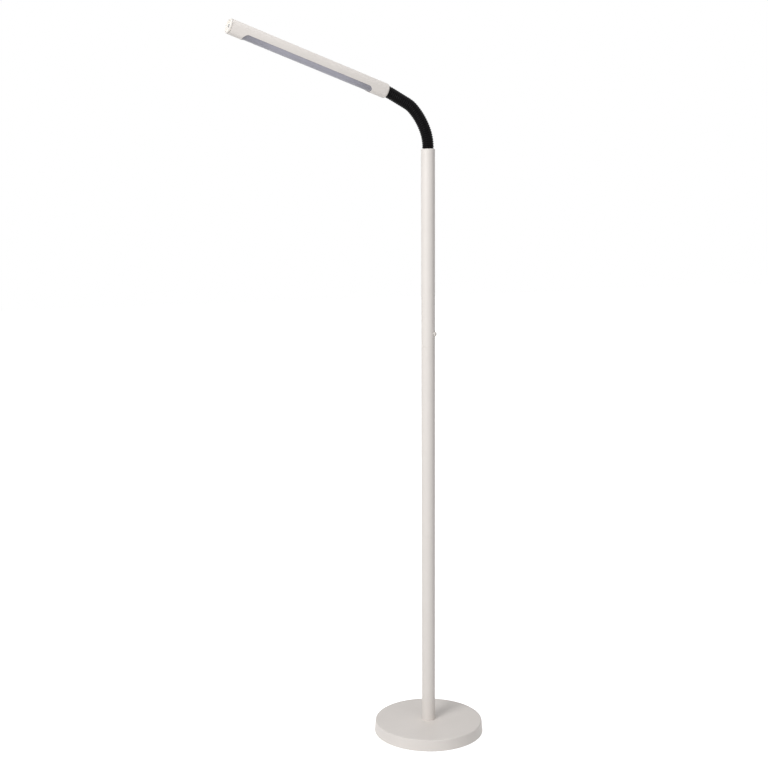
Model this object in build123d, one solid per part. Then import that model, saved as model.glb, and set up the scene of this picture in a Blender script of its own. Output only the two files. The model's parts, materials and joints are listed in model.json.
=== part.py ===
from build123d import *
import os
from math import cos, radians, sin, sqrt

# Gooseneck reading floor lamp. Millimetres, +Z up. The origin is on the floor, at the centre of
# the base and on the pole's axis. The neck bends in the XZ plane and the head points to -X.

# ---------------------------------------------------------------- base
BASE_HEIGHT = 21.5          # floor to the top of the cover
BASE_FOOT_RADIUS = 102.5    # the cover's side flares out towards the floor
BASE_TOP_RADIUS = 100.6
BASE_EDGE_RADIUS = 2.2      # rounding of the cover's top edge
COVER_WALL = 1.5
COVER_FOOT_GAP = 1.0        # the cover ends just above the floor
PAD_RADIUS = 98.0
PAD_HEIGHT = 1.5
WEIGHT_GAP = 1.6            # between the cast weight's rim and the cover
WEIGHT_CHAMFER = 3.0
NUT_WELL_RADIUS = 20.0      # well under the weight, round the nut
NUT_WELL_DEPTH = 8.5
CORD_CHANNEL_WIDTH = 8.0
CORD_CHANNEL_HEIGHT = 8.0
CORD_BORE_RADIUS = 3.1      # for a round mains cord of 6 mm
BUSHING_RADIUS = 4.6
BUSHING_FLANGE_RADIUS = 6.0
BUSHING_CENTRE_HEIGHT = 8.2

# ---------------------------------------------------------------- pole
POLE_RADIUS = 12.5
POLE_WALL = 1.0
TUBE_LENGTH = 355.0         # each of the three tubes, as it shows
TUBE_END_CHAMFER = 0.45     # both tube ends at a seam are eased, which leaves a fine groove
COLLAR_HEIGHT = 2.6         # the ring on top of the pole
COLLAR_ROUNDING = 1.6
NIPPLE_RADIUS = 6.5         # the threaded nipples that join the tubes
NIPPLE_BORE_RADIUS = 4.5
NIPPLE_LENGTH = 16.0
INSERT_LENGTH = 22.0        # threaded inserts pressed into the tube ends
SPIGOT_LENGTH = 12.0        # pressed part of a spigot, clear of the switch
STUD_RADIUS = 5.0
STUD_BORE_RADIUS = 3.4
STUD_ABOVE_COVER = 16.0
NUT_ACROSS_FLATS = 17.0
NUT_HEIGHT = 5.0
WASHER_HEIGHT = 1.6

# ---------------------------------------------------------------- push switch in the upper tube
SWITCH_ABOVE_SEAM = 23.5
SWITCH_BEARING = -52.9      # degrees from +X, so it is on the user's right
BUTTON_RADIUS = 3.9
BUTTON_PROUD = 2.8          # how far the cap stands out of the tube
BUTTON_TRAVEL = 1.5
BUTTON_GAP = 0.05           # running clearance in the bezel
BEZEL_RADIUS = 4.8
BEZEL_PROUD = 0.8

# ---------------------------------------------------------------- ribbed neck
RIB_PITCH = 3.8
RIB_CREST_RADIUS = 10.5
RIB_SHOULDER_RADIUS = 10.2  # a rib rises steeply from the valley and has a rounded crest
RIB_SHOULDER = 0.18         # from the valley to the shoulder, as a share of the pitch
RIB_VALLEY_RADIUS = 9.3
HOSE_BORE_RADIUS = 4.5
HOSE_SECTIONS = 9           # the hose is cut halfway between its nine joints
RIBS_PER_SECTION = 4
CLAMPED_LOWER = 18.0        # plain hose held in the pole's top
CLAMPED_UPPER = 10.0        # plain hose held in the head's rear cap
# The route from the pole's top to the head, as (straight length) or (radius, turn in degrees).
NECK_START = 3.0
NECK_BENDS = [(78.0, 21.2), (109.0, 25.3), (40.5, 17.0)]
NECK_LAST_BEND = (60.0, 8.5)    # the hose meets the head square
FERRULE_BORE_RADIUS = 3.2

# ---------------------------------------------------------------- head
HEAD_RADIUS = 13.0
HEAD_WALL = 1.2
HEAD_TUBE_END = 300.0       # from the rear mouth, along the head
HEAD_ROLL = 15.3            # the slot's middle is turned this far from straight down
REAR_CAP_BAND = 4.0
REAR_CAP_ROUNDING = 3.4
REAR_CAP_DEPTH = 14.0
FRONT_CAP_GROOVE = 0.7
FRONT_CAP_BAND = 2.8
FRONT_RECESS_RADIUS = 10.2
FRONT_RECESS_DEPTH = 1.8
FRONT_PLUG = 9.0
SLOT_FROM = 30.5
SLOT_TO = 276.0
SLOT_WIDTH = 21.0
SLOT_CORNER = 8.0
DIFFUSER_RECESS = 1.0       # below the slot's long edges
DIFFUSER_FLANGE = 4.8       # from the head's axis to the flange's face
CARRIER_THICKNESS = 1.6
CARRIER_FROM = 22.0
CARRIER_TO = 290.0
CARRIER_WALL = 1.4
CARRIER_WALL_INSIDE = 8.2   # the driver board lies between the two walls
CARRIER_WALL_DEPTH = 6.5
BOSS_LENGTH = 16.0
BOARD_THICKNESS = 1.2
LED_BOARD_WIDTH = 10.0
LED_COUNT = 20
LED_PITCH = 12.0
DRIVER_FROM = 34.0
DRIVER_BOARD_BACK = -3.6
SCREW_RADIUS = 1.5

POLE_TOP = BASE_HEIGHT + 3 * TUBE_LENGTH
POLE_INNER = POLE_RADIUS - POLE_WALL
HEAD_INNER = HEAD_RADIUS - HEAD_WALL
SLOT_MIDDLE = (SLOT_FROM + SLOT_TO) / 2
LED_BOARD_FACE = CARRIER_THICKNESS + BOARD_THICKNESS
SECTION_LENGTH = RIBS_PER_SECTION * RIB_PITCH
NECK_LENGTH = HOSE_SECTIONS * SECTION_LENGTH
SWITCH_HEIGHT = BASE_HEIGHT + 2 * TUBE_LENGTH + SWITCH_ABOVE_SEAM


# ---------------------------------------------------------------- shared shapes
def turned(*outline):
    """A solid of revolution about Z from (radius, height) points."""
    return revolve(Plane.XZ * make_face(Polyline(*outline, close=True)), Axis.Z, 360)


def ring(outer, inner, low, high):
    """A plain ring about Z between two heights."""
    return turned((inner, low), (outer, low), (outer, high), (inner, high))


def rod(radius, low, high):
    """A plain round bar about Z between two heights."""
    return Pos(0, 0, low) * Cylinder(radius, high - low, align=(Align.CENTER, Align.CENTER, Align.MIN))


def block(x, y, z):
    """A box between the limits given for each axis."""
    size = (x[1] - x[0], y[1] - y[0], z[1] - z[0])
    return Pos(x[0], y[0], z[0]) * Box(*size, align=(Align.MIN, Align.MIN, Align.MIN))


def hex_nut(across_flats, bore, low, high):
    """A hexagon nut about Z, without its thread."""
    blank = extrude(RegularPolygon(across_flats / 2, 6, major_radius=False), high - low)
    return Pos(0, 0, low) * blank - rod(bore, low, high)


def circles_at(solid, radius, height):
    """The round edges of one radius about Z, at one height."""
    round_edges = solid.edges().filter_by(GeomType.CIRCLE)
    return [
        edge for edge in round_edges
        if abs(edge.radius - radius) < 0.01 and abs(edge.center().Z - height) < 0.01
    ]


def outwards(solid):
    """Turn a solid built about Z so that its +Z points out of the pole at the switch."""
    return Pos(0, 0, SWITCH_HEIGHT) * Rot(0, 0, SWITCH_BEARING) * Rot(0, 90, 0) * solid


# ---------------------------------------------------------------- route of the neck
def neck_route():
    """The route's stretches from the pole's top: (length, turn in degrees)."""
    bends = [(radius * radians(turn), turn) for radius, turn in NECK_BENDS + [NECK_LAST_BEND]]
    straight = NECK_LENGTH - NECK_START - sum(length for length, _ in bends)
    return [(NECK_START, 0.0)] + bends[:-1] + [(straight, 0.0)] + bends[-1:]


def neck_place(distance):
    """Point on the neck's centreline at a distance from the pole's top, and its slope in degrees.

    The slope is 90 where the neck is upright. Before the start and after the end it runs straight.
    """
    x, z, slope = 0.0, POLE_TOP, 90.0
    if distance < 0:
        return Vector(x, 0, z + distance), slope
    left = distance
    for length, turn in neck_route():
        part = min(left, length)
        part_turn = turn * part / length
        chord = part
        if part_turn:
            half = radians(part_turn / 2)
            chord = part * sin(half) / half
        heading = radians(slope - part_turn / 2)
        x -= chord * cos(heading)
        z += chord * sin(heading)
        slope -= part_turn
        left -= part
        if left <= 0:
            return Vector(x, 0, z), slope
    heading = radians(slope)
    return Vector(x - left * cos(heading), 0, z + left * sin(heading)), slope


def neck_plane(distance):
    """The plane square to the neck at a distance, with its X axis always along the part's Y."""
    point, slope = neck_place(distance)
    along = Vector(-cos(radians(slope)), 0, sin(radians(slope)))
    return Plane(origin=point, x_dir=(0, 1, 0), z_dir=along)


def hinge_distance(index):
    """Where the neck's hinge number index (from 1) lies on the route: in the middle of its section."""
    return (index - 0.5) * SECTION_LENGTH


HEAD_ORIGIN, HEAD_SLOPE = neck_place(NECK_LENGTH)
HEAD_AXIS = Vector(-cos(radians(HEAD_SLOPE)), 0, sin(radians(HEAD_SLOPE)))
HEAD_DOWN = Vector(-sin(radians(HEAD_SLOPE)), 0, -cos(radians(HEAD_SLOPE)))
SLOT_DIRECTION = HEAD_DOWN * cos(radians(HEAD_ROLL)) + Vector(0, -1, 0) * sin(radians(HEAD_ROLL))
# In the head's own frame Z runs from the rear mouth to the front and X points out of the slot.
HEAD_PLANE = Plane(origin=HEAD_ORIGIN, x_dir=SLOT_DIRECTION, z_dir=HEAD_AXIS)


# ---------------------------------------------------------------- base pieces
def base_cover():
    inner_foot = BASE_FOOT_RADIUS - COVER_WALL
    inner_top = BASE_TOP_RADIUS - COVER_WALL
    under = BASE_HEIGHT - COVER_WALL
    shell = turned(
        (STUD_RADIUS, BASE_HEIGHT), (BASE_TOP_RADIUS, BASE_HEIGHT), (BASE_FOOT_RADIUS, COVER_FOOT_GAP),
        (inner_foot, COVER_FOOT_GAP), (inner_top, under), (STUD_RADIUS, under),
    )
    shell = fillet(circles_at(shell, BASE_TOP_RADIUS, BASE_HEIGHT), BASE_EDGE_RADIUS)
    cord_hole = Pos(0, 0, BUSHING_CENTRE_HEIGHT) * Rot(0, 90, 0) * rod(BUSHING_RADIUS, 60, 120)
    return shell - cord_hole


def base_weight():
    """Cast disc with a well for the nut, a channel for the cord and a chamfered rim."""
    radius = BASE_TOP_RADIUS - COVER_WALL - WEIGHT_GAP
    top = BASE_HEIGHT - COVER_WALL
    bore = STUD_RADIUS + 0.4
    disc = turned(
        (bore, washer_top()), (NUT_WELL_RADIUS, washer_top()), (NUT_WELL_RADIUS, PAD_HEIGHT),
        (radius, PAD_HEIGHT), (radius, top - WEIGHT_CHAMFER), (radius - WEIGHT_CHAMFER, top), (bore, top),
    )
    half = CORD_CHANNEL_WIDTH / 2
    channel_heights = (PAD_HEIGHT, PAD_HEIGHT + CORD_CHANNEL_HEIGHT)
    channel = block((NUT_WELL_RADIUS - 4, radius + 1), (-half, half), channel_heights)
    pocket = rod(BUSHING_FLANGE_RADIUS + 1, radius - 6, radius + 1)
    return disc - channel - Pos(0, 0, BUSHING_CENTRE_HEIGHT) * Rot(0, 90, 0) * pocket


def base_pad():
    """Rubber disc glued over the weight and the nut's well."""
    return rod(PAD_RADIUS, 0, PAD_HEIGHT)


def base_stud():
    """Hollow threaded pipe that the pole screws onto; the cord passes through it."""
    low = PAD_HEIGHT + 0.6
    return ring(STUD_RADIUS, STUD_BORE_RADIUS, low, BASE_HEIGHT + STUD_ABOVE_COVER)


def washer_top():
    return PAD_HEIGHT + NUT_WELL_DEPTH


def base_washer():
    return ring(11.0, STUD_RADIUS, washer_top() - WASHER_HEIGHT, washer_top())


def base_nut():
    high = washer_top() - WASHER_HEIGHT
    return hex_nut(NUT_ACROSS_FLATS, STUD_RADIUS, high - NUT_HEIGHT, high)


def cord_bushing():
    """Grommet in the cover's rear wall: a flange inside, a body through the wall and a thin lip outside."""
    wall = cover_radius_at(BUSHING_CENTRE_HEIGHT)
    inside = wall - COVER_WALL
    lip = wall + 0.9
    body = turned(
        (CORD_BORE_RADIUS, inside - 3.2), (BUSHING_FLANGE_RADIUS, inside - 3.2),
        (BUSHING_FLANGE_RADIUS, inside - 1.2), (BUSHING_RADIUS, inside - 1.2),
        (BUSHING_RADIUS, lip - 0.4), (BUSHING_RADIUS - 0.4, lip), (CORD_BORE_RADIUS, lip),
    )
    return Pos(0, 0, BUSHING_CENTRE_HEIGHT) * Rot(0, 90, 0) * body


def cover_radius_at(height):
    """Outer radius of the cover's flared side at a height."""
    share = (height - COVER_FOOT_GAP) / (BASE_HEIGHT - COVER_FOOT_GAP)
    return BASE_FOOT_RADIUS + share * (BASE_TOP_RADIUS - BASE_FOOT_RADIUS)


# ---------------------------------------------------------------- pole pieces
def tube_ends(index):
    """Bottom and top of tube number index, from 0 at the base."""
    low = BASE_HEIGHT + index * TUBE_LENGTH
    return low, low + TUBE_LENGTH


def pole_tube(index):
    low, high = tube_ends(index)
    if index == 2:
        high -= COLLAR_HEIGHT
    tube = ring(POLE_RADIUS, POLE_INNER, low, high)
    if index > 0:
        tube = chamfer(circles_at(tube, POLE_RADIUS, low), TUBE_END_CHAMFER)
    if index < 2:
        tube = chamfer(circles_at(tube, POLE_RADIUS, high), TUBE_END_CHAMFER)
    if index == 2:
        tube -= outwards(rod(BEZEL_RADIUS, 5, 20))
    return tube


def pole_foot_insert():
    """Threaded plug in the pole's foot, with a relief groove half way up."""
    low = BASE_HEIGHT
    high = low + INSERT_LENGTH
    middle = low + INSERT_LENGTH / 2
    return turned(
        (STUD_RADIUS, low), (POLE_INNER, low), (POLE_INNER, middle - 3), (POLE_INNER - 1.5, middle - 2),
        (POLE_INNER - 1.5, middle + 2), (POLE_INNER, middle + 3), (POLE_INNER, high), (STUD_RADIUS, high),
    )


def pole_socket(index):
    """Threaded insert flush with the top of a tube."""
    high = tube_ends(index)[1]
    return turned(
        (NIPPLE_RADIUS, high - INSERT_LENGTH), (POLE_INNER - 1, high - INSERT_LENGTH),
        (POLE_INNER, high - INSERT_LENGTH + 1), (POLE_INNER, high), (NIPPLE_RADIUS, high),
    )


def pole_spigot(index):
    """Insert in the bottom of a tube, with a hollow threaded nipple that enters the socket below."""
    low = tube_ends(index)[0]
    return turned(
        (NIPPLE_BORE_RADIUS, low - NIPPLE_LENGTH), (NIPPLE_RADIUS - 0.8, low - NIPPLE_LENGTH),
        (NIPPLE_RADIUS, low - NIPPLE_LENGTH + 0.8), (NIPPLE_RADIUS, low), (POLE_INNER, low),
        (POLE_INNER, low + SPIGOT_LENGTH - 1), (POLE_INNER - 1, low + SPIGOT_LENGTH),
        (NIPPLE_BORE_RADIUS, low + SPIGOT_LENGTH),
    )


def pole_top_collar():
    """Cup that holds the hose's lower end: a rounded ring on the tube and a sleeve inside it."""
    floor = POLE_TOP - CLAMPED_LOWER
    bottom = floor - 3.0
    under_ring = POLE_TOP - COLLAR_HEIGHT
    collar = turned(
        (HOSE_BORE_RADIUS, bottom), (POLE_INNER, bottom), (POLE_INNER, under_ring),
        (POLE_RADIUS, under_ring), (POLE_RADIUS, POLE_TOP), (RIB_VALLEY_RADIUS, POLE_TOP),
        (RIB_VALLEY_RADIUS, floor), (HOSE_BORE_RADIUS, floor),
    )
    return fillet(circles_at(collar, POLE_RADIUS, POLE_TOP), COLLAR_ROUNDING)


# ---------------------------------------------------------------- neck pieces
def rib_circles(first, last):
    """Circles of the hose's outside from one distance to another, four to a rib: (distance, radius)."""
    profile = [
        (RIB_SHOULDER, RIB_SHOULDER_RADIUS), (0.5, RIB_CREST_RADIUS),
        (1 - RIB_SHOULDER, RIB_SHOULDER_RADIUS), (1, RIB_VALLEY_RADIUS),
    ]
    circles = [(first, RIB_VALLEY_RADIUS)]
    for rib in range(round((last - first) / RIB_PITCH)):
        circles += [(first + (rib + share) * RIB_PITCH, radius) for share, radius in profile]
    return circles


def neck_hose(index):
    """One length of the ribbed hose, index from 1 at the pole, with its bore."""
    first = (index - 1) * SECTION_LENGTH
    last = index * SECTION_LENGTH
    circles = rib_circles(first, last)
    bore_places = [first, last]
    if index == 1:
        circles.insert(0, (-CLAMPED_LOWER, RIB_VALLEY_RADIUS))
        bore_places.insert(0, -CLAMPED_LOWER)
    if index == HOSE_SECTIONS:
        circles.append((NECK_LENGTH + CLAMPED_UPPER, RIB_VALLEY_RADIUS))
        bore_places.append(NECK_LENGTH + CLAMPED_UPPER)
    outside = loft([neck_plane(s) * Circle(radius) for s, radius in circles], ruled=True)
    bore = loft([neck_plane(s) * Circle(HOSE_BORE_RADIUS) for s in bore_places], ruled=True)
    return outside - bore


def ferrule(length):
    """Threaded sleeve crimped into an end of the hose's bore, standing on Z = 0."""
    return ring(HOSE_BORE_RADIUS, FERRULE_BORE_RADIUS, 0, length)


def neck_lower_ferrule():
    return Pos(0, 0, POLE_TOP - CLAMPED_LOWER - 10) * ferrule(10 + CLAMPED_LOWER - 2)


def neck_lower_nut():
    high = POLE_TOP - CLAMPED_LOWER - 3.0
    return hex_nut(15.0, HOSE_BORE_RADIUS, high - NUT_HEIGHT, high)


def neck_upper_ferrule():
    return HEAD_PLANE.location * Pos(0, 0, 1) * ferrule(20)


def neck_upper_nut():
    return HEAD_PLANE.location * hex_nut(15.0, HOSE_BORE_RADIUS, REAR_CAP_DEPTH, REAR_CAP_DEPTH + NUT_HEIGHT)


# ---------------------------------------------------------------- switch pieces
# Built about Z, with Z = 0 on the pole's axis, then turned outwards.
BUTTON_FACE = POLE_RADIUS + BUTTON_PROUD
BEZEL_FACE = POLE_RADIUS + BEZEL_PROUD
BEZEL_BACK = 7.6
SHOULDER_FRONT = 7.4
SHOULDER_BACK = 6.0
SHOULDER_RADIUS = 4.7
STEM_RADIUS = 1.8
STEM_BACK = -1.0
PRESSED_SPRING_LENGTH = 2.3     # the spring with the button pushed in
CAVITY_FLOOR = SHOULDER_BACK - BUTTON_TRAVEL - PRESSED_SPRING_LENGTH
SWITCH_FRONT_RADIUS = 6.4
SWITCH_BODY_FRONT = 1.2
SWITCH_BODY_BACK = -8.5
SWITCH_BODY_HALF_LENGTH = 9.5
SWITCH_BODY_HALF_WIDTH = 5.4
TERMINAL_LENGTH = 5.0


def switch_bezel():
    """Ring through the tube's wall with a flange behind it."""
    bore = BUTTON_RADIUS + BUTTON_GAP
    seat = 9.3
    return outwards(turned(
        (bore, BEZEL_BACK), (SWITCH_FRONT_RADIUS, BEZEL_BACK), (SWITCH_FRONT_RADIUS, seat),
        (BEZEL_RADIUS, seat), (BEZEL_RADIUS, BEZEL_FACE - 0.4), (BEZEL_RADIUS - 0.4, BEZEL_FACE),
        (bore, BEZEL_FACE),
    ))


def switch_button():
    """Cap, shoulder and stem in one moulding."""
    cap = turned(
        (0, STEM_BACK), (STEM_RADIUS, STEM_BACK), (STEM_RADIUS, SHOULDER_BACK),
        (SHOULDER_RADIUS, SHOULDER_BACK), (SHOULDER_RADIUS, SHOULDER_FRONT),
        (BUTTON_RADIUS, SHOULDER_FRONT), (BUTTON_RADIUS, BUTTON_FACE), (0, BUTTON_FACE),
    )
    return outwards(fillet(circles_at(cap, BUTTON_RADIUS, BUTTON_FACE), 0.7))


def switch_body():
    """Contact block with a round front that carries the bezel and holds the spring."""
    half = SWITCH_BODY_HALF_LENGTH
    width = SWITCH_BODY_HALF_WIDTH
    case = block((-half, half), (-width, width), (SWITCH_BODY_BACK, SWITCH_BODY_FRONT))
    front = rod(SWITCH_FRONT_RADIUS, SWITCH_BODY_FRONT, BEZEL_BACK)
    cavity = rod(SHOULDER_RADIUS + 0.4, CAVITY_FLOOR, BEZEL_BACK)
    stem_hole = rod(STEM_RADIUS + 0.1, STEM_BACK - 2 * BUTTON_TRAVEL, CAVITY_FLOOR)
    inside_tube = Rot(0, 90, 0) * Cylinder(POLE_INNER - 0.6, 60)
    return outwards(((case + front) & inside_tube) - cavity - stem_hole)


def switch_spring():
    """Coil spring behind the button's shoulder, as a closed sleeve of its outer shape."""
    return outwards(ring(SHOULDER_RADIUS - 0.6, STEM_RADIUS + 1.5, CAVITY_FLOOR, SHOULDER_BACK))


def switch_terminals():
    """Two brass blades on top of the contact block."""
    root = -SWITCH_BODY_HALF_LENGTH
    blade = block((root - TERMINAL_LENGTH, root), (-1.2, 1.2), (-0.4, 0.4))
    blades = [outwards(Pos(0, 0, place) * blade) for place in (-6.2, -1.6)]
    return Compound(children=blades)


# ---------------------------------------------------------------- head pieces
def in_head(solid):
    return HEAD_PLANE.location * solid


def slot_plate(width, length, corner, low, high):
    """A round-cornered plate under the slot, between two distances from the head's axis."""
    plane = Plane(origin=(low, 0, SLOT_MIDDLE), x_dir=(0, 1, 0), z_dir=(1, 0, 0))
    return extrude(plane * RectangleRounded(width, length, corner), high - low)


def head_tube():
    tube = ring(HEAD_RADIUS, HEAD_INNER, REAR_CAP_BAND, HEAD_TUBE_END)
    slot = slot_plate(SLOT_WIDTH, SLOT_TO - SLOT_FROM, SLOT_CORNER, 2, HEAD_RADIUS + 2)
    return in_head(tube - slot)


def head_rear_cap():
    """Rounded shoulder with a cup for the hose; its plug sits in the tube."""
    cap = turned(
        (RIB_VALLEY_RADIUS, 0), (HEAD_RADIUS, 0), (HEAD_RADIUS, REAR_CAP_BAND), (HEAD_INNER, REAR_CAP_BAND),
        (HEAD_INNER, REAR_CAP_DEPTH), (HOSE_BORE_RADIUS, REAR_CAP_DEPTH), (HOSE_BORE_RADIUS, CLAMPED_UPPER),
        (RIB_VALLEY_RADIUS, CLAMPED_UPPER),
    )
    return in_head(fillet(circles_at(cap, HEAD_RADIUS, 0), REAR_CAP_ROUNDING))


def front_cap_levels():
    """The front cap's seat on the tube, the back of its band, its face and its recess floor."""
    seat = HEAD_TUBE_END
    band = seat + FRONT_CAP_GROOVE
    face = band + FRONT_CAP_BAND
    return seat, band, face, face - FRONT_RECESS_DEPTH


def head_front_cap():
    """Plug with a raised rim, a dished face and a shadow groove against the tube."""
    seat, band, face, recess = front_cap_levels()
    plug = seat - FRONT_PLUG
    wall = HEAD_INNER - 1.6
    cap = turned(
        (SCREW_RADIUS, seat), (wall, seat), (wall, plug), (HEAD_INNER, plug), (HEAD_INNER, band),
        (HEAD_RADIUS, band), (HEAD_RADIUS, face), (FRONT_RECESS_RADIUS, face),
        (FRONT_RECESS_RADIUS, recess), (SCREW_RADIUS, recess),
    )
    cap = fillet(circles_at(cap, HEAD_RADIUS, face), 0.8)
    return in_head(chamfer(circles_at(cap, FRONT_RECESS_RADIUS, face), 0.4))


def front_cap_screw():
    recess = front_cap_levels()[3]
    head = turned(
        (0, recess), (2.9, recess), (2.9, recess + 0.8), (2.3, recess + 1.3), (1.0, recess + 1.3),
        (1.0, recess + 0.3), (0, recess + 0.3),
    )
    tip = CARRIER_TO - 8
    return in_head(head + rod(SCREW_RADIUS, tip, recess))


def led_carrier():
    """Extruded channel across the tube: a plate for the board, two walls behind it and a screw boss."""
    low, high = CARRIER_FROM, CARRIER_TO
    plate = block((0, CARRIER_THICKNESS), (-HEAD_RADIUS, HEAD_RADIUS), (low, high))
    wall_depth = (-CARRIER_WALL_DEPTH, 0)
    outer = CARRIER_WALL_INSIDE + CARRIER_WALL
    walls = block(wall_depth, (CARRIER_WALL_INSIDE, outer), (low, high))
    walls += block(wall_depth, (-outer, -CARRIER_WALL_INSIDE), (low, high))
    boss = rod(3.4, high - BOSS_LENGTH, high)
    profile = (plate + walls + boss) & rod(HEAD_INNER, low, high)
    return in_head(profile - rod(SCREW_RADIUS, high - BOSS_LENGTH, high))


def led_board():
    half_width = LED_BOARD_WIDTH / 2
    half_length = LED_COUNT * LED_PITCH / 2
    return in_head(block(
        (CARRIER_THICKNESS, LED_BOARD_FACE), (-half_width, half_width),
        (SLOT_MIDDLE - half_length, SLOT_MIDDLE + half_length),
    ))


def led_chips():
    """A row of surface-mounted chips along the board."""
    half_width, half_length, height = 1.4, 1.75, 0.7
    heights = (LED_BOARD_FACE, LED_BOARD_FACE + height)
    first = SLOT_MIDDLE - (LED_COUNT - 1) * LED_PITCH / 2
    chips = []
    for number in range(LED_COUNT):
        place = first + number * LED_PITCH
        chip = block(heights, (-half_width, half_width), (place - half_length, place + half_length))
        chips.append(in_head(chip))
    return Compound(children=chips)


def led_board_screws():
    """Three flat heads between the chips."""
    reach = 9 * LED_PITCH
    heads = []
    for place in (SLOT_MIDDLE - reach, SLOT_MIDDLE, SLOT_MIDDLE + reach):
        head = rod(1.9, LED_BOARD_FACE, LED_BOARD_FACE + 0.7)
        heads.append(in_head(Pos(0, 0, place) * Rot(0, 90, 0) * head))
    return Compound(children=heads)


def diffuser():
    """Flat lens in the slot, with a flange behind the tube's wall and two legs on the carrier."""
    slot_edge = sqrt(HEAD_RADIUS ** 2 - (SLOT_WIDTH / 2) ** 2)
    face = slot_edge - DIFFUSER_RECESS
    flange, flange_half_width, wall = DIFFUSER_FLANGE, 10.6, 0.9
    length = SLOT_TO - SLOT_FROM
    window = slot_plate(SLOT_WIDTH - 0.4, length - 0.4, SLOT_CORNER - 0.2, flange, face)
    ends = (SLOT_FROM - 4, SLOT_TO + 4)
    channel = block((CARRIER_THICKNESS, flange), (-flange_half_width, flange_half_width), ends)
    inside = flange_half_width - wall
    hollow_ends = (ends[0] - 1, ends[1] + 1)
    hollow = block((CARRIER_THICKNESS, flange - 0.8), (-inside, inside), hollow_ends)
    return in_head(channel - hollow + window)


def driver_board():
    thickness = (DRIVER_BOARD_BACK - BOARD_THICKNESS, DRIVER_BOARD_BACK)
    half_width = CARRIER_WALL_INSIDE
    return in_head(block(thickness, (-half_width, half_width), (DRIVER_FROM, DRIVER_FROM + 70)))


def on_driver_board(solid, place):
    """Stand a piece built about Z on the driver board's outer face, at a distance from its end."""
    face = DRIVER_BOARD_BACK - BOARD_THICKNESS
    return in_head(Pos(face, 0, DRIVER_FROM + place) * Rot(0, -90, 0) * solid)


def driver_capacitor():
    return on_driver_board(rod(2.8, 0, 5.2), 14)


def driver_coil():
    return on_driver_board(block((-3.5, 3.5), (-3.5, 3.5), (0, 3.4)), 32)


def driver_chip():
    return on_driver_board(block((-2.5, 2.5), (-2.0, 2.0), (0, 1.5)), 50)


# ---------------------------------------------------------------- all pieces
PARTS = {
    "base_cover": base_cover, "base_weight": base_weight, "base_pad": base_pad,
    "base_stud": base_stud, "base_washer": base_washer, "base_nut": base_nut,
    "cord_bushing": cord_bushing,
    "pole_tube_lower": lambda: pole_tube(0), "pole_tube_middle": lambda: pole_tube(1),
    "pole_tube_upper": lambda: pole_tube(2), "pole_foot_insert": pole_foot_insert,
    "pole_socket_lower": lambda: pole_socket(0), "pole_socket_middle": lambda: pole_socket(1),
    "pole_spigot_middle": lambda: pole_spigot(1), "pole_spigot_upper": lambda: pole_spigot(2),
    "pole_top_collar": pole_top_collar,
    "neck_lower_ferrule": neck_lower_ferrule, "neck_lower_nut": neck_lower_nut,
    "neck_upper_ferrule": neck_upper_ferrule, "neck_upper_nut": neck_upper_nut,
    "switch_bezel": switch_bezel, "switch_button": switch_button, "switch_body": switch_body,
    "switch_spring": switch_spring, "switch_terminals": switch_terminals,
    "head_tube": head_tube, "head_rear_cap": head_rear_cap, "head_front_cap": head_front_cap,
    "front_cap_screw": front_cap_screw, "led_carrier": led_carrier, "led_board": led_board,
    "led_chips": led_chips, "led_board_screws": led_board_screws, "diffuser": diffuser,
    "driver_board": driver_board, "driver_capacitor": driver_capacitor,
    "driver_coil": driver_coil, "driver_chip": driver_chip,
}

os.makedirs("parts", exist_ok=True)
for name, make in PARTS.items():
    export_step(make(), f"parts/{name}.step")
for number in range(1, HOSE_SECTIONS + 1):
    export_step(neck_hose(number), f"parts/neck_hose_{number}.step")
for number in range(1, HOSE_SECTIONS + 1):
    place, slope = neck_place(hinge_distance(number))
    print(f"hinge {number} at x {place.X:.2f} z {place.Z:.2f}, slope {slope:.2f}")
print(f"head starts at x {HEAD_ORIGIN.X:.2f} z {HEAD_ORIGIN.Z:.2f}, slope {HEAD_SLOPE:.2f}")
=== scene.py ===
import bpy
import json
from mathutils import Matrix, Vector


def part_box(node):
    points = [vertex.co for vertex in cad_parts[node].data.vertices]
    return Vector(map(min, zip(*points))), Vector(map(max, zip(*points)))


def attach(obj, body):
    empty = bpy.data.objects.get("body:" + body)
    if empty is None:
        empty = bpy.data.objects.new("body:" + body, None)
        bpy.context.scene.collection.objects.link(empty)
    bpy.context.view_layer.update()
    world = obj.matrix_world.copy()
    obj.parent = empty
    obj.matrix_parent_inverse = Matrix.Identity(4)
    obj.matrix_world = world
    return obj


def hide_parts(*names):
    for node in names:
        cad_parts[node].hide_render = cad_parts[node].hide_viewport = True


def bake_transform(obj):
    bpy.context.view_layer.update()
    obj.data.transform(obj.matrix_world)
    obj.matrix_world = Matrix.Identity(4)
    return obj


bl_info = {
    "name": "Gooseneck Reading Floor Lamp",
    "version": (1, 0, 0),
    "blender": (4, 5, 0),
    "location": "View3D > Sidebar > Floor Lamp",
    "description": "Dresses a slim reading lamp: painted base and pole, wound black neck, slotted head",
    "category": "Object",
}

import json
from math import atan2, ceil, cos, pi, radians, sin

import bmesh
import bpy
from bpy.props import FloatProperty, FloatVectorProperty, IntProperty, PointerProperty
from mathutils import Matrix, Quaternion, Vector

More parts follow.
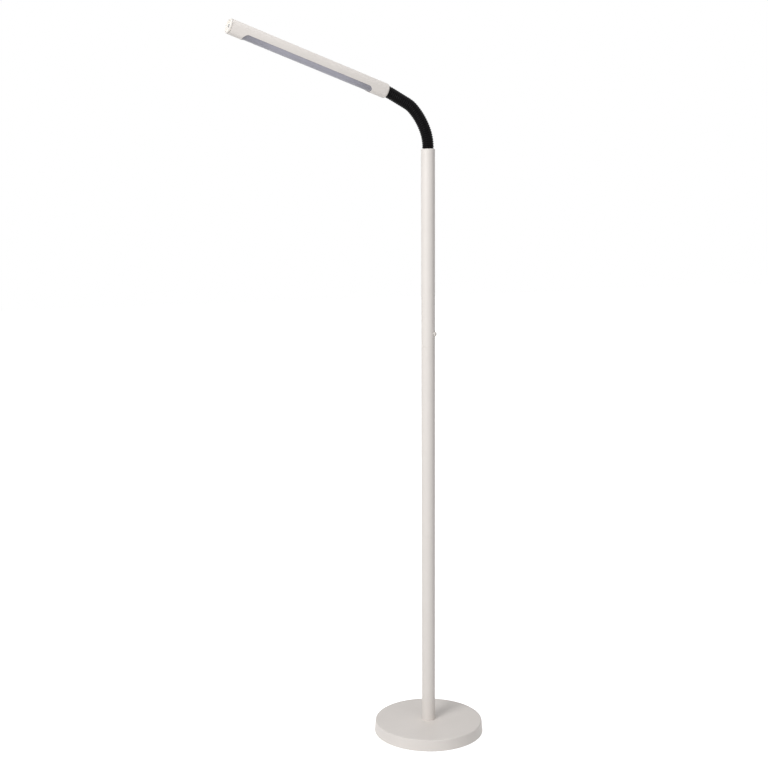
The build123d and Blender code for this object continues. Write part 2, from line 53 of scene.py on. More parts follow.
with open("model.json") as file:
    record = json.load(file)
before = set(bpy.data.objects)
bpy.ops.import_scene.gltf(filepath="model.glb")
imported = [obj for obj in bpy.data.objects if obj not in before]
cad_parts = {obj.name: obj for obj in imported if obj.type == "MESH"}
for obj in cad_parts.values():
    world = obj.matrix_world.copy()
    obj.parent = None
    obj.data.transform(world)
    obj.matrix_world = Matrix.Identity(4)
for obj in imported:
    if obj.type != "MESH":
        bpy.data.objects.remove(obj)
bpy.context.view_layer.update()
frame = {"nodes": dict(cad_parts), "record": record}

MM = 0.001
SLOT_OF = {row["node"]: row["material_slot"] for row in frame["record"]["subparts"]}

# The neck's route from the pole's top, as in the part's source: (length, turn in degrees), in
# millimetres. It starts upright and ends where the head begins.
POLE_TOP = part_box("pole_top_collar")[1].z
NECK_LENGTH = 136.8
NECK_BENDS = [(78.0, 21.2), (109.0, 25.3), (40.5, 17.0)]
NECK_LAST_BEND = (60.0, 8.5)
NECK_START = 3.0
HOSE_SECTIONS = 9
CLAMPED_LOWER = 18.0
CLAMPED_UPPER = 10.0

# The head's tube and slot, as in the part's source, in millimetres from the head's rear mouth.
HEAD_INNER = 11.8
HEAD_ROLL = 15.3
SLOT_FROM = 30.5
SLOT_TO = 276.0

# The switch, as in the part's source. Its spring lies between two distances from the pole's axis.
SWITCH_HEIGHT = 755.0
SWITCH_BEARING = -52.9
SPRING_FROM = 2.2
SPRING_TO = 6.0
SPRING_WIRE = 0.22
SPRING_RADIUS = 3.7
SPRING_TURNS = 2.5

# The lens inside the head: its wall, half its arc in degrees, how far it runs on behind the slot's
# ends, and how far from each end the painted shade on it reaches.
LENS_GAP = 0.1
LENS_WALL = 1.3
LENS_HALF_ARC = 78
LENS_OVERLAP = 4
LENS_END_SHADE_REACH = 55

# Each panel's place in the studio in metres (right of the pole, nearer the camera, height) and size.
KEY_PANEL = (-1.25, 1.66, 1.75), 1.0
OVERHEAD_PANEL = (0.0, 0.1, 2.6), 0.9
FILL_PANEL = (1.15, 2.0, 1.55), 1.3


def linear(code):
    """Linear colour, with alpha, from an sRGB hex value."""
    shares = [int(code[place:place + 2], 16) / 255 for place in (1, 3, 5)]
    return [c / 12.92 if c <= 0.04045 else ((c + 0.055) / 1.055) ** 2.4 for c in shares] + [1.0]


# ---------------------------------------------------------------- settings
def colour(name, description, code):
    return FloatVectorProperty(
        name=name, description=description, subtype="COLOR", size=4, min=0, max=1, default=linear(code))


def length(name, description, millimetres):
    return FloatProperty(
        name=name, description=description, subtype="DISTANCE", unit="LENGTH", default=millimetres * MM)


class LampFinishes(bpy.types.PropertyGroup):
    """Colours of the lamp's finishes."""
    powder_coat: colour("Powder coat", "Warm white of the painted steel tubes and cover", "#EBE5E0")
    moulded_white: colour("Moulded white", "Warm white of the moulded caps", "#EEE9E3")
    button_grey: colour("Switch grey", "Pale grey of the switch's button and ring", "#C4BEB9")
    neck_black: colour("Neck black", "Black of the wound neck", "#0F0D0F")
    lens: colour("Lens", "Milky lens of the unlit head", "#A3A2AE")


class LampNeck(bpy.types.PropertyGroup):
    """Sizes of the wound neck."""
    pitch: length("Winding pitch", "Distance from one turn to the next", 3.8)
    crest: length("Crest radius", "Radius over the turns", 10.5)
    valley: length("Valley radius", "Radius between the turns", 9.3)
    bore: length("Bore radius", "Radius of the neck's bore", 4.5)
    columns: IntProperty(name="Columns", description="Faces round the neck", default=64, min=16)
    rows: IntProperty(name="Rows", description="Faces along one turn", default=12, min=6)


class LampStage(bpy.types.PropertyGroup):
    """Camera and light of the studio."""
    focal_length: FloatProperty(
        name="Focal length", description="Of the camera, on a sensor 36 mm wide", subtype="DISTANCE_CAMERA",
        default=57.577)
    bearing: FloatProperty(
        name="Bearing", description="How far the camera stands round from the front of the neck's plane",
        subtype="ANGLE", unit="ROTATION", default=radians(26.078))
    distance: length("Distance", "From the camera to the pole, along the floor", 2231.6)
    sideways: length("Sideways", "How far the camera stands to the right of the pole", -80.98)
    height: length("Height", "Of the camera above the floor", 957.98)
    pitch: FloatProperty(
        name="Pitch", description="How far the camera looks down", subtype="ANGLE", unit="ROTATION",
        default=radians(7.529))
    roll: FloatProperty(
        name="Roll", description="How far the camera leans to the right", subtype="ANGLE", unit="ROTATION",
        default=radians(0.327))
    key_power: FloatProperty(
        name="Key light", description="Power of the large panel at the front left", unit="POWER",
        default=33.5)
    overhead_power: FloatProperty(
        name="Overhead light", description="Power of the panel over the lamp", unit="POWER", default=8.0)
    fill_power: FloatProperty(
        name="Fill light", description="Power of the soft panel at the front right", unit="POWER",
        default=3.5)
    ambient: FloatProperty(
        name="Ambient", description="Strength of the even light from all round", default=0.28, min=0)


# ---------------------------------------------------------------- materials
def add_node(tree, kind, inputs=None, **settings):
    """Add a node, set it up, and give its sockets values or other nodes' outputs."""
    node = tree.nodes.new(kind)
    for name, value in settings.items():
        setattr(node, name, value)
    for name, value in (inputs or {}).items():
        if isinstance(value, bpy.types.NodeSocket):
            tree.links.new(value, node.inputs[name])
        else:
            node.inputs[name].default_value = value
    return node


def new_material(name):
    """An empty material, with its node tree and the place on the piece that patterns read."""
    material = bpy.data.materials.new(name)
    material.use_nodes = True
    tree = material.node_tree
    tree.nodes.clear()
    return material, tree, add_node(tree, "ShaderNodeTexCoord").outputs["Object"]


def grain(tree, place, size_mm, detail=2.0, roughness=0.5):
    """Even noise whose blotches are about size_mm across; its output is 0 to 1."""
    return add_node(tree, "ShaderNodeTexNoise", {
        "Vector": place, "Scale": 1 / (size_mm * MM), "Detail": detail, "Roughness": roughness,
    }).outputs["Fac"]


def spread(tree, value, low, high, from_low=0.3, from_high=0.7):
    """Stretch a noise value to a range."""
    return add_node(tree, "ShaderNodeMapRange", {
        "Value": value, "From Min": from_low, "From Max": from_high, "To Min": low, "To Max": high,
    }).outputs["Result"]


def bump(tree, height, depth_mm, strength=1.0, under=None):
    inputs = {"Height": height, "Distance": depth_mm * MM, "Strength": strength}
    if under:
        inputs["Normal"] = under
    return add_node(tree, "ShaderNodeBump", inputs).outputs["Normal"]


def shaded(tree, tint, amount, factor):
    """A colour darkened by up to amount where factor is 1."""
    dark = [channel * (1 - amount) for channel in tint[:3]] + [1.0]
    mix = add_node(tree, "ShaderNodeMix", {"Factor": factor}, data_type="RGBA")
    mix.inputs["A"].default_value = tint
    mix.inputs["B"].default_value = dark
    return mix.outputs["Result"]


def set_surface(tree, inputs):
    """The principled shader that a material ends in."""
    shader = add_node(tree, "ShaderNodeBsdfPrincipled", inputs)
    add_node(tree, "ShaderNodeOutputMaterial", {"Surface": shader.outputs["BSDF"]})


def powder_coated_steel():
    """Steel with a baked polyester powder coat: satin, with the faint orange peel of flowed powder."""
    material, tree, place = new_material("powder_coated_steel")
    tint = bpy.context.scene.lamp_finishes.powder_coat
    peel = grain(tree, place, 1.1, detail=1.0)
    dust = grain(tree, place, 0.25, detail=2.0)
    cloud = grain(tree, place, 60.0, detail=3.0)
    soft = bump(tree, peel, 0.02, 0.5)
    set_surface(tree, {
        "Base Color": shaded(tree, tint, 0.035, spread(tree, cloud, 0, 1)),
        "Roughness": spread(tree, peel, 0.42, 0.52),
        "IOR": 1.5,
        "Normal": bump(tree, dust, 0.004, 0.5, under=soft),
    })
    return material


def moulded_white_abs():
    """ABS from a spark-eroded mould: the coat's colour, a little whiter, and an even fine matte."""
    material, tree, place = new_material("moulded_white_abs")
    tint = bpy.context.scene.lamp_finishes.moulded_white
    fine = grain(tree, place, 0.3, detail=3.0)
    set_surface(tree, {
        "Base Color": shaded(tree, tint, 0.03, spread(tree, grain(tree, place, 18.0), 0, 1)),
        "Roughness": spread(tree, fine, 0.44, 0.56),
        "IOR": 1.53,
        "Subsurface Weight": 0.08,
        "Subsurface Radius": [0.002, 0.0018, 0.0015],
        "Subsurface Scale": 1.0,
        "Normal": bump(tree, fine, 0.01, 0.5),
    })
    return material


def moulded_grey_abs():
    """Grey ABS of the switch's button and ring, touched often, so a little smoother in patches."""
    material, tree, place = new_material("moulded_grey_abs")
    tint = bpy.context.scene.lamp_finishes.button_grey
    fine = grain(tree, place, 0.25, detail=2.0)
    set_surface(tree, {
        "Base Color": shaded(tree, tint, 0.06, spread(tree, grain(tree, place, 2.5), 0, 1)),
        "Roughness": spread(tree, grain(tree, place, 1.5), 0.34, 0.5),
        "IOR": 1.53,
        "Normal": bump(tree, fine, 0.006, 0.5),
    })
    return material


def black_neck_vinyl():
    """Black soft vinyl over the wound neck: satin, with blotches that differ at random in tone and gloss.
    """
    material, tree, _ = new_material("black_neck_vinyl")
    tint = bpy.context.scene.lamp_finishes.neck_black
    unbent = add_node(tree, "ShaderNodeAttribute", attribute_name="unbent").outputs["Vector"]
    fine = grain(tree, unbent, 0.35, detail=3.0)
    wear = grain(tree, unbent, 5.0, detail=4.0)
    set_surface(tree, {
        "Base Color": shaded(tree, tint, 0.35, spread(tree, wear, 0, 1)),
        "Roughness": spread(tree, wear, 0.36, 0.5),
        "IOR": 1.5,
        "Specular IOR Level": 0.06,
        "Normal": bump(tree, fine, 0.02, 0.5),
    })
    return material


def milky_lens():
    """Extruded opal polycarbonate, unlit: cool grey, with painted shade darkening it towards both ends of
    the slot.
    """
    material, tree, place = new_material("milky_lens")
    tint = bpy.context.scene.lamp_finishes.lens
    origin, axis, _ = head_axes()
    along = add_node(tree, "ShaderNodeVectorMath", operation="DOT_PRODUCT")
    tree.links.new(place, along.inputs[0])
    along.inputs[1].default_value = axis
    middle = origin.dot(axis) + (SLOT_FROM + SLOT_TO) / 2 * MM
    from_middle = add_node(tree, "ShaderNodeMath", operation="SUBTRACT")
    tree.links.new(along.outputs["Value"], from_middle.inputs[0])
    from_middle.inputs[1].default_value = middle
    off = add_node(tree, "ShaderNodeMath", operation="ABSOLUTE")
    tree.links.new(from_middle.outputs[0], off.inputs[0])
    half = (SLOT_TO - SLOT_FROM) / 2 * MM
    # painted shade: the lens's colour is darkened towards both ends of the slot
    painted_end_shade = spread(tree, off.outputs[0], 0, 1, from_low=half - LENS_END_SHADE_REACH * MM, from_high=half)
    set_surface(tree, {
        "Base Color": shaded(tree, tint, 0.34, painted_end_shade),
        "Roughness": spread(tree, grain(tree, place, 0.8), 0.28, 0.36),
        "IOR": 1.58,
        "Subsurface Weight": 0.15,
        "Subsurface Radius": [0.003, 0.003, 0.0035],
        "Subsurface Scale": 1.0,
        "Normal": bump(tree, grain(tree, place, 1.6, detail=1.0), 0.01, 0.3),
    })
    return material


def black_rubber():
    """Moulded nitrile rubber: nearly matte, with a fine talc bloom."""
    material, tree, place = new_material("black_rubber")
    bloom = grain(tree, place, 1.2, detail=4.0)
    set_surface(tree, {
        "Base Color": shaded(tree, linear("#2A2928"), 0.3, spread(tree, bloom, 0, 1)),
        "Roughness": spread(tree, bloom, 0.7, 0.85),
        "Normal": bump(tree, grain(tree, place, 0.4), 0.03, 0.6),
    })
    return material


def black_nylon():
    """Glass-filled nylon: dark grey-black with the fine glitter of the mould's texture."""
    material, tree, place = new_material("black_nylon")
    fine = grain(tree, place, 0.3, detail=3.0)
    set_surface(tree, {
        "Base Color": shaded(tree, linear("#1C1C1D"), 0.25, spread(tree, fine, 0, 1)),
        "Roughness": spread(tree, fine, 0.45, 0.62),
        "Normal": bump(tree, fine, 0.012, 0.5),
    })
    return material


def sand_cast_iron():
    """Grey iron as cast in sand, dipped in black primer: pitted and dull."""
    material, tree, place = new_material("sand_cast_iron")
    sand = grain(tree, place, 0.8, detail=5.0, roughness=0.65)
    set_surface(tree, {
        "Base Color": shaded(tree, linear("#3A3836"), 0.4, spread(tree, grain(tree, place, 12.0), 0, 1)),
        "Metallic": 0.3,
        "Roughness": spread(tree, sand, 0.6, 0.85),
        "Normal": bump(tree, sand, 0.15, 0.8),
    })
    return material


def zinc_plated_steel():
    """Turned steel with bright zinc: cool grey, fine turning marks and a slight bloom."""
    material, tree, place = new_material("zinc_plated_steel")
    marks = add_node(tree, "ShaderNodeTexNoise", {
        "Vector": add_node(tree, "ShaderNodeMapping", {
            "Vector": place, "Scale": (200.0, 200.0, 6000.0)}).outputs["Vector"],
        "Scale": 1.0, "Detail": 2.0,
    }).outputs["Fac"]
    set_surface(tree, {
        "Base Color": shaded(tree, linear("#B4B6B8"), 0.12, spread(tree, grain(tree, place, 4.0), 0, 1)),
        "Metallic": 1.0,
        "Roughness": spread(tree, marks, 0.26, 0.42),
        "Normal": bump(tree, marks, 0.006, 0.5),
    })
    return material


def turned_brass():
    """Free-cutting brass as turned, slightly dulled."""
    material, tree, place = new_material("turned_brass")
    tarnish = grain(tree, place, 3.0, detail=4.0)
    set_surface(tree, {
        "Base Color": shaded(tree, linear("#C2A25A"), 0.3, spread(tree, tarnish, 0, 1)),
        "Metallic": 1.0,
        "Roughness": spread(tree, tarnish, 0.25, 0.45),
        "Normal": bump(tree, grain(tree, place, 0.3), 0.005, 0.5),
    })
    return material


def extruded_aluminium():
    """Mill-finish aluminium profile with drawn lines along it."""
    material, tree, place = new_material("extruded_aluminium")
    lines = grain(tree, place, 0.5, detail=2.0)
    set_surface(tree, {
        "Base Color": shaded(tree, linear("#C9CBCD"), 0.1, spread(tree, grain(tree, place, 8.0), 0, 1)),
        "Metallic": 1.0,
        "Roughness": spread(tree, lines, 0.3, 0.45),
        "Normal": bump(tree, lines, 0.006, 0.5),
    })
    return material


def white_solder_mask():
    """Glass-epoxy board under white solder mask: smooth and faintly woven."""
    material, tree, place = new_material("white_solder_mask")
    weave = grain(tree, place, 0.5, detail=1.0)
    set_surface(tree, {
        "Base Color": shaded(tree, linear("#EDEFEA"), 0.05, spread(tree, weave, 0, 1)),
        "Roughness": spread(tree, weave, 0.3, 0.38),
        "Normal": bump(tree, weave, 0.004, 0.5),
    })
    return material


def led_phosphor():
    """Silicone with yellow phosphor in the chips, glossy and a little grainy."""
    material, tree, place = new_material("led_phosphor")
    fine = grain(tree, place, 0.2, detail=3.0)
    set_surface(tree, {
        "Base Color": shaded(tree, linear("#E8C64A"), 0.15, spread(tree, fine, 0, 1)),
        "Roughness": spread(tree, fine, 0.2, 0.3),
        "Subsurface Weight": 0.2,
        "Subsurface Radius": [0.001, 0.0008, 0.0003],
        "Subsurface Scale": 1.0,
    })
    return material


FINISH_OF_SLOT = {
    "cream_metal": powder_coated_steel, "cream_plastic": moulded_white_abs,
    "grey_plastic": moulded_grey_abs, "black_hose": black_neck_vinyl, "black_rubber": black_rubber,
    "black_plastic": black_nylon, "opal_lens": milky_lens, "cast_iron": sand_cast_iron,
    "steel": zinc_plated_steel, "brass": turned_brass, "aluminium": extruded_aluminium,
    "circuit_board": white_solder_mask, "led_phosphor": led_phosphor,
}


def finish_of(slot):
    """The material of a slot, made when it is first asked for."""
    make = FINISH_OF_SLOT[slot]
    return bpy.data.materials.get(make.__name__) or make()


def dress_nodes(*names):
    """Give carried-over nodes the material of their slot."""
    for name in names:
        mesh = frame["nodes"][name].data
        mesh.materials.clear()
        mesh.materials.append(finish_of(SLOT_OF[name]))


def new_piece(name, shape, slot, smooth=True):
    """An object at the origin from a finished bmesh, in its slot's material."""
    mesh = bpy.data.meshes.new(name)
    for face in shape.faces:
        face.smooth = smooth
    shape.to_mesh(mesh)
    shape.free()
    piece = bpy.data.objects.new(name, mesh)
    bpy.context.scene.collection.objects.link(piece)
    mesh.materials.append(finish_of(slot))
    return piece


# ---------------------------------------------------------------- neck
def neck_place(distance):
    """Point on the neck's centreline, in metres, and its slope in radians, at a distance in mm."""
    bends = [(radius * radians(turn), turn) for radius, turn in NECK_BENDS + [NECK_LAST_BEND]]
    straight = NECK_LENGTH - NECK_START - sum(part for part, _ in bends)
    stretches = [(NECK_START, 0.0)] + bends[:-1] + [(straight, 0.0)] + bends[-1:]
    x, z, slope = 0.0, POLE_TOP / MM, 90.0
    left = distance
    for part, turn in stretches:
        step = left if left < 0 else min(left, part)
        step_turn = turn * step / part
        chord = step
        if step_turn:
            half = radians(step_turn / 2)
            chord = step * sin(half) / half
        heading = radians(slope - step_turn / 2)
        x -= chord * cos(heading)
        z += chord * sin(heading)
        slope -= step_turn
        left -= step
        if left <= 0:
            break
    heading = radians(slope)
    left = max(left, 0.0)
    return Vector((x - left * cos(heading), 0, z + left * sin(heading))) * MM, heading


def head_axes():
    """The head's rear mouth in metres, its axis, and the way its slot looks."""
    origin, slope = neck_place(NECK_LENGTH)
    axis = Vector((-cos(slope), 0, sin(slope)))
    down = Vector((-sin(slope), 0, -cos(slope)))
    return origin, axis, down * cos(radians(HEAD_ROLL)) + Vector((0, -1, 0)) * sin(radians(HEAD_ROLL))


def winding_radius(distance, turn, neck):
    """Outer radius of the wound neck at a distance along it and a share of a turn round it."""
    phase = (distance / neck.pitch - turn) % 1.0
    rise = sin(pi * phase) ** 1.05
    ends = min(distance, NECK_LENGTH * MM - distance) / (0.35 * neck.pitch)
    rise *= max(0.0, min(1.0, ends))
    return neck.valley + (neck.crest - neck.valley) * rise


def wound_length(name, first, last, neck):
    """A length of the neck with its winding and bore, first straight and then laid on the route."""
    shape = bmesh.new()
    corners = [(neck.crest, first), (neck.crest, last), (neck.bore, last), (neck.bore, first)]
    verts = [shape.verts.new((radius, 0, place * MM)) for radius, place in corners]
    edges = [shape.edges.new((verts[n], verts[(n + 1) % 4])) for n in range(4)]
    rows = ceil((last - first) * MM / neck.pitch * neck.rows)
    bmesh.ops.subdivide_edges(shape, edges=[edges[0]], cuts=rows - 1)
    bmesh.ops.subdivide_edges(shape, edges=[edges[2]], cuts=rows // 4)
    bmesh.ops.spin(
        shape, geom=shape.verts[:] + shape.edges[:], cent=(0, 0, 0), axis=(0, 0, 1), dvec=(0, 0, 0),
        angle=2 * pi, steps=neck.columns, use_merge=True, use_duplicate=False)
    bmesh.ops.recalc_face_normals(shape, faces=shape.faces)
    unbent = shape.verts.layers.float_vector.new("unbent")
    for vert in shape.verts:
        across = vert.co.to_2d()
        if across.length > (neck.bore + neck.valley) / 2:
            turn = atan2(across.y, across.x) / (2 * pi)
            across *= winding_radius(vert.co.z, turn, neck) / across.length
        vert[unbent] = (across.x, across.y, vert.co.z)
        point, slope = neck_place(vert.co.z / MM)
        vert.co = point + Vector((-across.y * sin(slope), across.x, -across.y * cos(slope)))
    for edge in shape.edges:
        steps = [abs(face.normal.dot(edge.link_faces[0].normal)) for face in edge.link_faces]
        edge.smooth = min(steps) > 0.3
    return new_piece(name, shape, "black_hose")


class LAMP_OT_wind_neck(bpy.types.Operator):
    """Wind the nine lengths of the neck and lay them along its route"""
    bl_idname = "lamp.wind_neck"
    bl_label = "Wind Neck"

    def execute(self, context):
        neck = context.scene.lamp_neck
        step = NECK_LENGTH / HOSE_SECTIONS
        for number in range(HOSE_SECTIONS):
            low, high = number * step, (number + 1) * step
            first = -CLAMPED_LOWER if number == 0 else low
            last = NECK_LENGTH + CLAMPED_UPPER if number == HOSE_SECTIONS - 1 else high
            piece = wound_length(f"neck_winding_{number + 1}", first, last, neck)
            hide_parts(f"neck_hose_{number + 1}")
            neck_place(low)[0]
            neck_place(high)[0]
            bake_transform(piece)
        dress_nodes("neck_lower_ferrule", "neck_lower_nut", "neck_upper_ferrule", "neck_upper_nut")
        return {"FINISHED"}


# ---------------------------------------------------------------- base and pole
class LAMP_OT_dress_base(bpy.types.Operator):
    """Finish the base: painted cover, iron weight, rubber pad and fasteners"""
    bl_idname = "lamp.dress_base"
    bl_label = "Dress Base"

    def execute(self, context):
        dress_nodes("base_cover", "base_weight", "base_pad", "base_stud", "base_washer", "base_nut",
                    "cord_bushing")
        return {"FINISHED"}


class LAMP_OT_dress_pole(bpy.types.Operator):
    """Finish the pole: three painted tubes, their threaded joints and the collar"""
    bl_idname = "lamp.dress_pole"
    bl_label = "Dress Pole"

    def execute(self, context):
        dress_nodes("pole_tube_lower", "pole_tube_middle", "pole_tube_upper", "pole_foot_insert",
                    "pole_socket_lower", "pole_socket_middle", "pole_spigot_middle",
                    "pole_spigot_upper", "pole_top_collar")
        return {"FINISHED"}


class LAMP_OT_coil_spring(bpy.types.Operator):
    """Coil the steel spring behind the button"""
    bl_idname = "lamp.coil_spring"
    bl_label = "Coil Spring"

    def execute(self, context):
        wire, steps = SPRING_WIRE * MM, 90
        low, high = SPRING_FROM * MM + wire + 0.05 * MM, SPRING_TO * MM - wire - 0.08 * MM
        outwards = Matrix.Translation((0, 0, SWITCH_HEIGHT * MM)) @ Matrix.Rotation(
            radians(SWITCH_BEARING), 4, "Z") @ Matrix.Rotation(pi / 2, 4, "Y")
        shape = bmesh.new()
        bmesh.ops.create_circle(
            shape, cap_ends=True, segments=10, radius=wire,
            matrix=Matrix.Translation((SPRING_RADIUS * MM, 0, low)) @ Matrix.Rotation(pi / 2, 4, "X"))
        bmesh.ops.spin(
            shape, geom=shape.verts[:] + shape.edges[:] + shape.faces[:], cent=(0, 0, 0), axis=(0, 0, 1),
            dvec=(0, 0, (high - low) / steps), angle=2 * pi * SPRING_TURNS, steps=steps,
            use_merge=False, use_duplicate=False)
        bmesh.ops.recalc_face_normals(shape, faces=shape.faces)
        if any(not edge.is_manifold for edge in shape.edges):
            raise RuntimeError("the spring isn't closed")
        shape.transform(outwards)
        piece = new_piece("coil_spring", shape, "steel")
        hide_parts("switch_spring")
        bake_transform(piece)
        return {"FINISHED"}


class LAMP_OT_dress_switch(bpy.types.Operator):
    """Finish the push switch"""
    bl_idname = "lamp.dress_switch"
    bl_label = "Dress Switch"

    def execute(self, context):
        dress_nodes("switch_bezel", "switch_button", "switch_body", "switch_terminals")
        return {"FINISHED"}


# ---------------------------------------------------------------- head
class LAMP_OT_curve_lens(bpy.types.Operator):
    """Make the arched lens that lies behind the slot, inside the tube"""
    bl_idname = "lamp.curve_lens"
    bl_label = "Curve Lens"

    def execute(self, context):
        origin, axis, out = head_axes()
        outer = HEAD_INNER - LENS_GAP
        inner = outer - LENS_WALL
        half_turn = radians(LENS_HALF_ARC)
        low, high = (SLOT_FROM - LENS_OVERLAP) * MM, (SLOT_TO + LENS_OVERLAP) * MM
        shape = bmesh.new()
        start = Quaternion(axis, -half_turn) @ out
        corners = [(outer, low), (outer, high), (inner, high), (inner, low)]
        verts = [shape.verts.new(origin + start * radius * MM + axis * place) for radius, place in corners]
        shape.faces.new(verts)
        bmesh.ops.spin(
            shape, geom=shape.verts[:] + shape.edges[:] + shape.faces[:], cent=origin, axis=axis,
            dvec=(0, 0, 0), angle=2 * half_turn, steps=48, use_merge=False, use_duplicate=False)
        bmesh.ops.recalc_face_normals(shape, faces=shape.faces)
        if any(not edge.is_manifold for edge in shape.edges):
            raise RuntimeError("the lens isn't closed")
        for edge in shape.edges:
            edge.smooth = edge.calc_face_angle() < radians(40)
        piece = new_piece("arched_lens", shape, "opal_lens")
        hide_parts("diffuser")
        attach(piece, "head")
        return {"FINISHED"}


class LAMP_OT_dress_head(bpy.types.Operator):
    """Finish the head: painted tube, caps, light board and driver"""
    bl_idname = "lamp.dress_head"
    bl_label = "Dress Head"

    def execute(self, context):
        dress_nodes("head_tube", "head_rear_cap", "head_front_cap", "front_cap_screw", "led_carrier",
                    "led_board", "led_chips", "led_board_screws", "driver_board",
                    "driver_capacitor", "driver_coil", "driver_chip")
        return {"FINISHED"}


# ---------------------------------------------------------------- stage
def is_seen(tree):
    """1 for rays that show the background itself: straight, mirrored or through glass."""
    path = add_node(tree, "ShaderNodeLightPath")
    first = add_node(tree, "ShaderNodeMath", operation="MAXIMUM")
    tree.links.new(path.outputs["Is Camera Ray"], first.inputs[0])
    tree.links.new(path.outputs["Is Glossy Ray"], first.inputs[1])
    second = add_node(tree, "ShaderNodeMath", operation="MAXIMUM")
    tree.links.new(first.outputs[0], second.inputs[0])
    tree.links.new(path.outputs["Is Transmission Ray"], second.inputs[1])
    return second.outputs[0]


def white_floor_material():
    """White studio paper: seen as white, with the lamp's soft shadow left on it."""
    material, tree, _ = new_material("white_floor_paper")
    paper = add_node(tree, "ShaderNodeBsdfDiffuse", {"Color": linear("#F4F4F4")})
    glow = add_node(tree, "ShaderNodeEmission", {"Color": linear("#FFFFFF"), "Strength": 0.94})
    both = add_node(tree, "ShaderNodeAddShader")
    tree.links.new(paper.outputs[0], both.inputs[0])
    tree.links.new(glow.outputs[0], both.inputs[1])
    seen = add_node(tree, "ShaderNodeMixShader", {"Fac": is_seen(tree)})
    tree.links.new(paper.outputs[0], seen.inputs[1])
    tree.links.new(both.outputs[0], seen.inputs[2])
    add_node(tree, "ShaderNodeOutputMaterial", {"Surface": seen.outputs[0]})
    return material


def white_world(strength):
    """Even light from all round, behind a background that is seen as white."""
    world = bpy.data.worlds.new("studio")
    world.use_nodes = True
    tree = world.node_tree
    tree.nodes.clear()
    light = add_node(tree, "ShaderNodeBackground", {"Color": linear("#FFFFFF"), "Strength": strength})
    white = add_node(tree, "ShaderNodeBackground", {"Color": linear("#FFFFFF"), "Strength": 1.0})
    mix = add_node(tree, "ShaderNodeMixShader", {"Fac": is_seen(tree)})
    tree.links.new(light.outputs[0], mix.inputs[1])
    tree.links.new(white.outputs[0], mix.inputs[2])
    add_node(tree, "ShaderNodeOutputWorld", {"Surface": mix.outputs[0]})
    bpy.context.scene.world = world


def studio_place(stage, sideways, nearer, height):
    """A place in the studio, in metres, from the camera's side of the pole."""
    forward = Vector((sin(stage.bearing), cos(stage.bearing), 0))
    right = Vector((cos(stage.bearing), -sin(stage.bearing), 0))
    return right * sideways - forward * nearer + Vector((0, 0, height))


def light_panel(name, place, target, size, power):
    """A soft square light that looks at a target."""
    data = bpy.data.lights.new(name, "AREA")
    data.shape = "SQUARE"
    data.size = size
    data.energy = power
    panel = bpy.data.objects.new(name, data)
    bpy.context.scene.collection.objects.link(panel)
    panel.location = place
    panel.rotation_euler = (target - place).to_track_quat("-Z", "Y").to_euler()


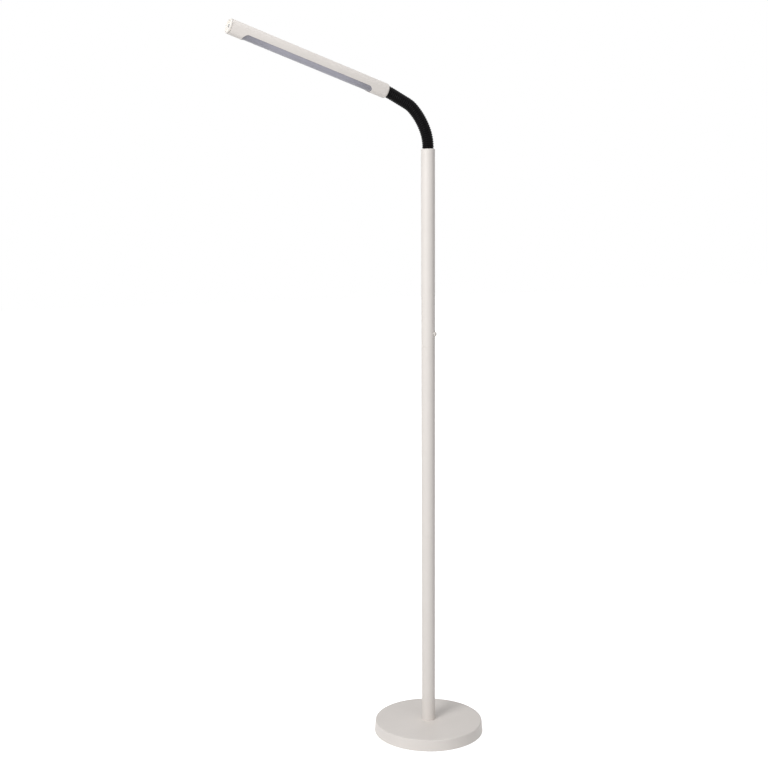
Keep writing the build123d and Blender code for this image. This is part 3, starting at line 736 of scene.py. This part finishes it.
class LAMP_OT_set_stage(bpy.types.Operator):
    """Set the floor, the lights and the camera"""
    bl_idname = "lamp.set_stage"
    bl_label = "Set Stage"

    def execute(self, context):
        scene = context.scene
        stage = scene.lamp_stage
        shape = bmesh.new()
        bmesh.ops.create_grid(shape, x_segments=1, y_segments=1, size=12.0)
        bmesh.ops.translate(shape, verts=shape.verts, vec=(0, 0, -0.0003))
        mesh = bpy.data.meshes.new("floor")
        shape.to_mesh(mesh)
        shape.free()
        floor = bpy.data.objects.new("floor", mesh)
        scene.collection.objects.link(floor)
        mesh.materials.append(white_floor_material())
        white_world(stage.ambient)
        middle = Vector((0, 0, 0.65))
        panels = (
            ("key_panel", KEY_PANEL, stage.key_power),
            ("overhead_panel", OVERHEAD_PANEL, stage.overhead_power),
            ("fill_panel", FILL_PANEL, stage.fill_power),
        )
        for name, (place, size), power in panels:
            light_panel(name, studio_place(stage, *place), middle, size, power)
        data = bpy.data.cameras.new("camera")
        data.sensor_width = 36.0
        data.lens = stage.focal_length
        camera = bpy.data.objects.new("camera", data)
        scene.collection.objects.link(camera)
        camera.location = studio_place(stage, stage.sideways, stage.distance, stage.height)
        level = studio_place(stage, 0, -cos(stage.pitch), -sin(stage.pitch))
        aim = level.to_track_quat("-Z", "Y") @ Quaternion((0, 0, 1), -stage.roll)
        camera.rotation_euler = aim.to_euler()
        scene.camera = camera
        scene.view_settings.view_transform = "Standard"
        return {"FINISHED"}


class LAMP_PT_sidebar(bpy.types.Panel):
    """Lists the steps that dress the lamp, and their settings"""
    bl_label = "Floor Lamp"
    bl_idname = "LAMP_PT_sidebar"
    bl_space_type = "VIEW_3D"
    bl_region_type = "UI"
    bl_category = "Floor Lamp"

    def draw(self, context):
        layout = self.layout
        for group, steps in PANEL_ROWS:
            settings = getattr(context.scene, group)
            box = layout.box()
            for name in settings.__annotations__:
                box.prop(settings, name)
            for step in steps:
                box.operator(step)


PANEL_ROWS = [
    ("lamp_finishes", [
        "lamp.dress_base", "lamp.dress_pole", "lamp.coil_spring", "lamp.dress_switch", "lamp.curve_lens",
        "lamp.dress_head"]),
    ("lamp_neck", ["lamp.wind_neck"]),
    ("lamp_stage", ["lamp.set_stage"]),
]
CLASSES = [
    LampFinishes, LampNeck, LampStage, LAMP_OT_dress_base, LAMP_OT_dress_pole, LAMP_OT_coil_spring,
    LAMP_OT_dress_switch,
    LAMP_OT_wind_neck, LAMP_OT_curve_lens, LAMP_OT_dress_head, LAMP_OT_set_stage, LAMP_PT_sidebar,
]


def register():
    for kind in CLASSES:
        bpy.utils.register_class(kind)
    bpy.types.Scene.lamp_finishes = PointerProperty(type=LampFinishes)
    bpy.types.Scene.lamp_neck = PointerProperty(type=LampNeck)
    bpy.types.Scene.lamp_stage = PointerProperty(type=LampStage)


def unregister():
    del bpy.types.Scene.lamp_stage
    del bpy.types.Scene.lamp_neck
    del bpy.types.Scene.lamp_finishes
    for kind in reversed(CLASSES):
        bpy.utils.unregister_class(kind)


def main():
    """Dress the lamp and set the stage."""
    register()
    bpy.ops.lamp.dress_base()
    bpy.ops.lamp.dress_pole()
    bpy.ops.lamp.coil_spring()
    bpy.ops.lamp.dress_switch()
    bpy.ops.lamp.wind_neck()
    bpy.ops.lamp.curve_lens()
    bpy.ops.lamp.dress_head()
    bpy.ops.lamp.set_stage()


if __name__ == "__main__":
    main()
